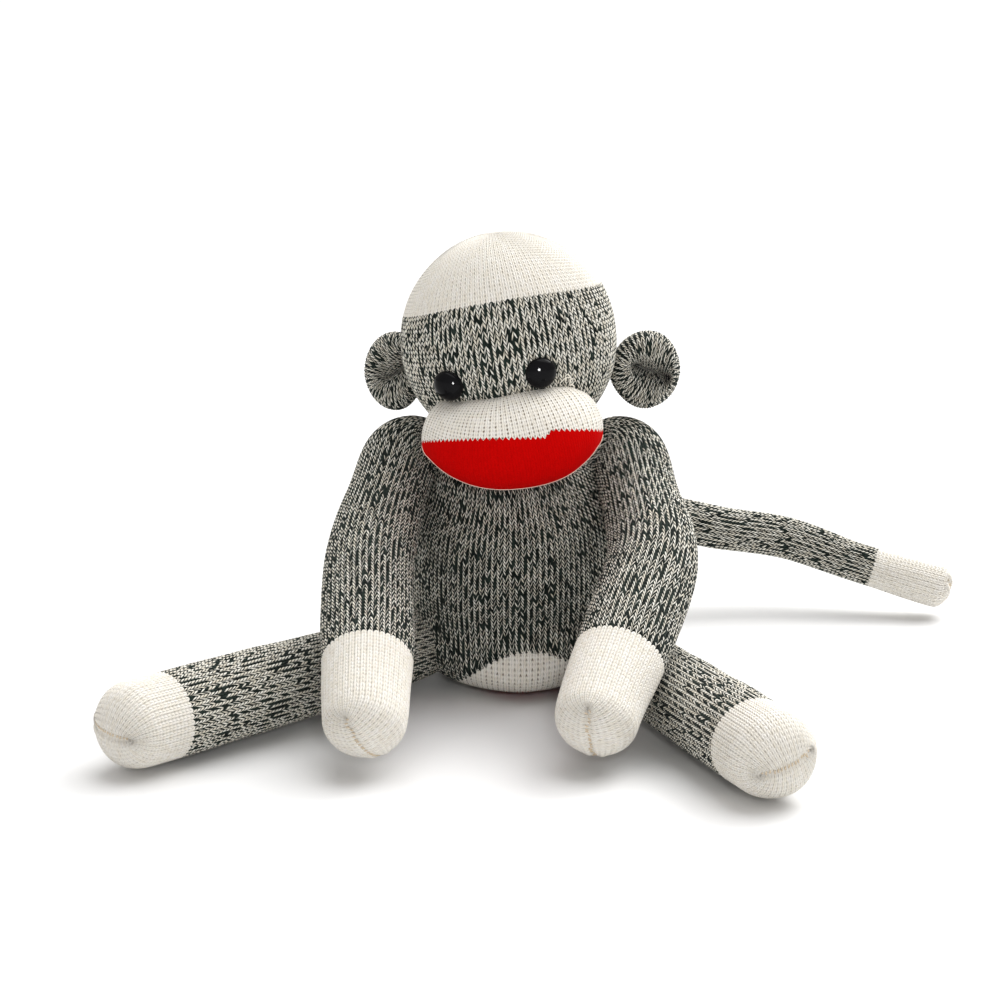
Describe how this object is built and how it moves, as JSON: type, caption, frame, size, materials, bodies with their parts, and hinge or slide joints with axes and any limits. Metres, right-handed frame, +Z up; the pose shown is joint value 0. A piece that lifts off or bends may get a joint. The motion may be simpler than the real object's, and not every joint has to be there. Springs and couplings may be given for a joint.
{
  "type": "stuffed monkey",
  "caption": "Sewn sock monkey with a round head, cupped ears, button eyes, a red and cream muzzle, soft stuffed arms and legs that pose, and a long tail",
  "frame": {"origin": "Middle of the flat patch under the seat, on the surface that the monkey sits on", "axes": "+Z up, the monkey faces -Y, its own left is +X"},
  "size_m": [0.3987, 0.313, 0.2079],
  "materials": {
    "marl_knit": "Two-ply marl yarn, dark green-grey and cream, knitted in stockinette",
    "cream_knit": "Cream cotton knit with fine ribs of stitches",
    "red_knit": "Bright red cotton knit",
    "stuffing": "White polyester filling",
    "thread": "Twisted sewing thread",
    "eye": "Polished black plastic",
    "washer": "Plain moulded white plastic"
  },
  "bodies": {
    "torso": {"torso_knit": "marl_knit", "seat_cream": "cream_knit", "seat_red": "red_knit", "torso_stuffing": "stuffing", "crotch_seam": "thread", "shoulder_gather_left": "marl_knit", "shoulder_gather_right": "marl_knit", "tail_stitching": "thread"},
    "neck_ball": {"neck_stuffing": "stuffing"},
    "neck_collar": {"neck_knit": "marl_knit"},
    "head": {"head_knit": "marl_knit", "crown_knit": "cream_knit", "head_stuffing": "stuffing", "crown_seam": "thread", "muzzle_cream": "cream_knit", "muzzle_red": "red_knit", "muzzle_stuffing": "stuffing", "muzzle_stitching": "thread", "eye_left": "eye", "eye_right": "eye", "eye_washers": "washer", "ear_stitching_left": "thread", "ear_stitching_right": "thread"},
    "tail_root": {"tail_root_stuffing": "stuffing"},
    "tail_base": {"tail_base_knit": "marl_knit", "tail_base_stuffing": "stuffing"},
    "tail_mid": {"tail_mid_knit": "marl_knit", "tail_mid_stuffing": "stuffing"},
    "tail_end": {"tail_end_knit": "marl_knit", "tail_end_stuffing": "stuffing", "tail_tip_knit": "cream_knit"},
    "ear_left": {"ear_knit_left": "marl_knit", "ear_stuffing_left": "stuffing"},
    "shoulder_left": {"shoulder_stuffing_left": "stuffing"},
    "upper_arm_left": {"upper_arm_knit_left": "marl_knit", "upper_arm_stuffing_left": "stuffing"},
    "forearm_left": {"forearm_knit_left": "marl_knit", "forearm_stuffing_left": "stuffing", "hand_knit_left": "cream_knit"},
    "hip_left": {"hip_stuffing_left": "stuffing"},
    "thigh_left": {"thigh_knit_left": "marl_knit", "thigh_stuffing_left": "stuffing"},
    "shin_left": {"shin_knit_left": "marl_knit", "shin_stuffing_left": "stuffing", "foot_knit_left": "cream_knit"},
    "ear_right": {"ear_knit_right": "marl_knit", "ear_stuffing_right": "stuffing"},
    "shoulder_right": {"shoulder_stuffing_right": "stuffing"},
    "upper_arm_right": {"upper_arm_knit_right": "marl_knit", "upper_arm_stuffing_right": "stuffing"},
    "forearm_right": {"forearm_knit_right": "marl_knit", "forearm_stuffing_right": "stuffing", "hand_knit_right": "cream_knit"},
    "hip_right": {"hip_stuffing_right": "stuffing"},
    "thigh_right": {"thigh_knit_right": "marl_knit", "thigh_stuffing_right": "stuffing"},
    "shin_right": {"shin_knit_right": "marl_knit", "shin_stuffing_right": "stuffing", "foot_knit_right": "cream_knit"}
  },
  "joints": [
    {"name": "head_turn", "type": "hinge", "parent": "torso", "child": "neck_ball", "pos_m": [0, -0.016, 0.112], "axis": [0, 0, 1], "range_deg": [-15, 15]},
    {"name": "head_nod", "type": "hinge", "parent": "neck_ball", "child": "neck_collar", "pos_m": [0, -0.016, 0.112], "axis": [-1, 0, 0], "range_deg": [-4, 20]},
    {"name": "head_tilt", "type": "hinge", "parent": "neck_collar", "child": "head", "pos_m": [0, -0.016, 0.112], "axis": [0, 1, 0], "range_deg": [-6, 6]},
    {"name": "ear_fold_left", "type": "hinge", "parent": "head", "child": "ear_left", "pos_m": [0.04421, -0.01236, 0.14831], "axis": [-0.2233, 0.0155, -0.9746], "range_deg": [-10, 10]},
    {"name": "arm_raise_left", "type": "hinge", "parent": "torso", "child": "shoulder_left", "pos_m": [0.054, -0.016, 0.103], "axis": [-1, 0, 0], "range_deg": [0, 38]},
    {"name": "arm_out_left", "type": "hinge", "parent": "shoulder_left", "child": "upper_arm_left", "pos_m": [0.054, -0.016, 0.103], "axis": [0.7534, 0.4313, -0.4963], "range_deg": [-45, 0]},
    {"name": "elbow_bend_left", "type": "hinge", "parent": "upper_arm_left", "child": "forearm_left", "pos_m": [0.06135, -0.06832, 0.06869], "axis": [0.9903, 0.1392, 0], "range_deg": [-50, 0]},
    {"name": "leg_spread_left", "type": "hinge", "parent": "torso", "child": "hip_left", "pos_m": [0.037, -0.016, 0.0174], "axis": [0, 0, 1], "range_deg": [0, 30]},
    {"name": "leg_swing_left", "type": "hinge", "parent": "hip_left", "child": "thigh_left", "pos_m": [0.037, -0.016, 0.0174], "axis": [-0.9272, -0.3746, 0], "range_deg": [-80, 0]},
    {"name": "knee_bend_left", "type": "hinge", "parent": "thigh_left", "child": "shin_left", "pos_m": [0.06696, -0.09016, 0.0188], "axis": [-0.9272, -0.3746, 0], "range_deg": [-42, 2]},
    {"name": "ear_fold_right", "type": "hinge", "parent": "head", "child": "ear_right", "pos_m": [-0.04811, -0.00688, 0.14506], "axis": [0.2353, -0.2015, -0.9508], "range_deg": [-10, 10]},
    {"name": "arm_raise_right", "type": "hinge", "parent": "torso", "child": "shoulder_right", "pos_m": [-0.054, -0.016, 0.103], "axis": [-1, 0, 0], "range_deg": [-6, 38]},
    {"name": "arm_out_right", "type": "hinge", "parent": "shoulder_right", "child": "upper_arm_right", "pos_m": [-0.054, -0.016, 0.103], "axis": [0.7415, -0.46, 0.4884], "range_deg": [-45, 4]},
    {"name": "elbow_bend_right", "type": "hinge", "parent": "upper_arm_right", "child": "forearm_right", "pos_m": [-0.06363, -0.06795, 0.06869], "axis": [0.9833, -0.1822, 0], "range_deg": [-50, 10]},
    {"name": "leg_spread_right", "type": "hinge", "parent": "torso", "child": "hip_right", "pos_m": [-0.037, -0.016, 0.0174], "axis": [0, 0, -1], "range_deg": [-12, 12]},
    {"name": "leg_swing_right", "type": "hinge", "parent": "hip_right", "child": "thigh_right", "pos_m": [-0.037, -0.016, 0.0174], "axis": [-0.7314, 0.682, 0], "range_deg": [-80, 10]},
    {"name": "knee_bend_right", "type": "hinge", "parent": "thigh_right", "child": "shin_right", "pos_m": [-0.09155, -0.0745, 0.0188], "axis": [-0.7314, 0.682, 0], "range_deg": [-42, 30]},
    {"name": "tail_swing", "type": "hinge", "parent": "torso", "child": "tail_root", "pos_m": [0.008, 0.053, 0.032], "axis": [0, 0, 1], "range_deg": [-20, 50]},
    {"name": "tail_lift", "type": "hinge", "parent": "tail_root", "child": "tail_base", "pos_m": [0.008, 0.053, 0.032], "axis": [0.5878, -0.809, 0], "range_deg": [-6, 35]},
    {"name": "tail_bend", "type": "hinge", "parent": "tail_base", "child": "tail_mid", "pos_m": [0.07193, 0.09944, 0.04451], "axis": [0, 0, 1], "range_deg": [-18, 50]},
    {"name": "tail_curl", "type": "hinge", "parent": "tail_mid", "child": "tail_end", "pos_m": [0.13767, 0.10289, 0.03991], "axis": [0.0523, -0.9986, 0], "range_deg": [-5, 50]}
  ]
}
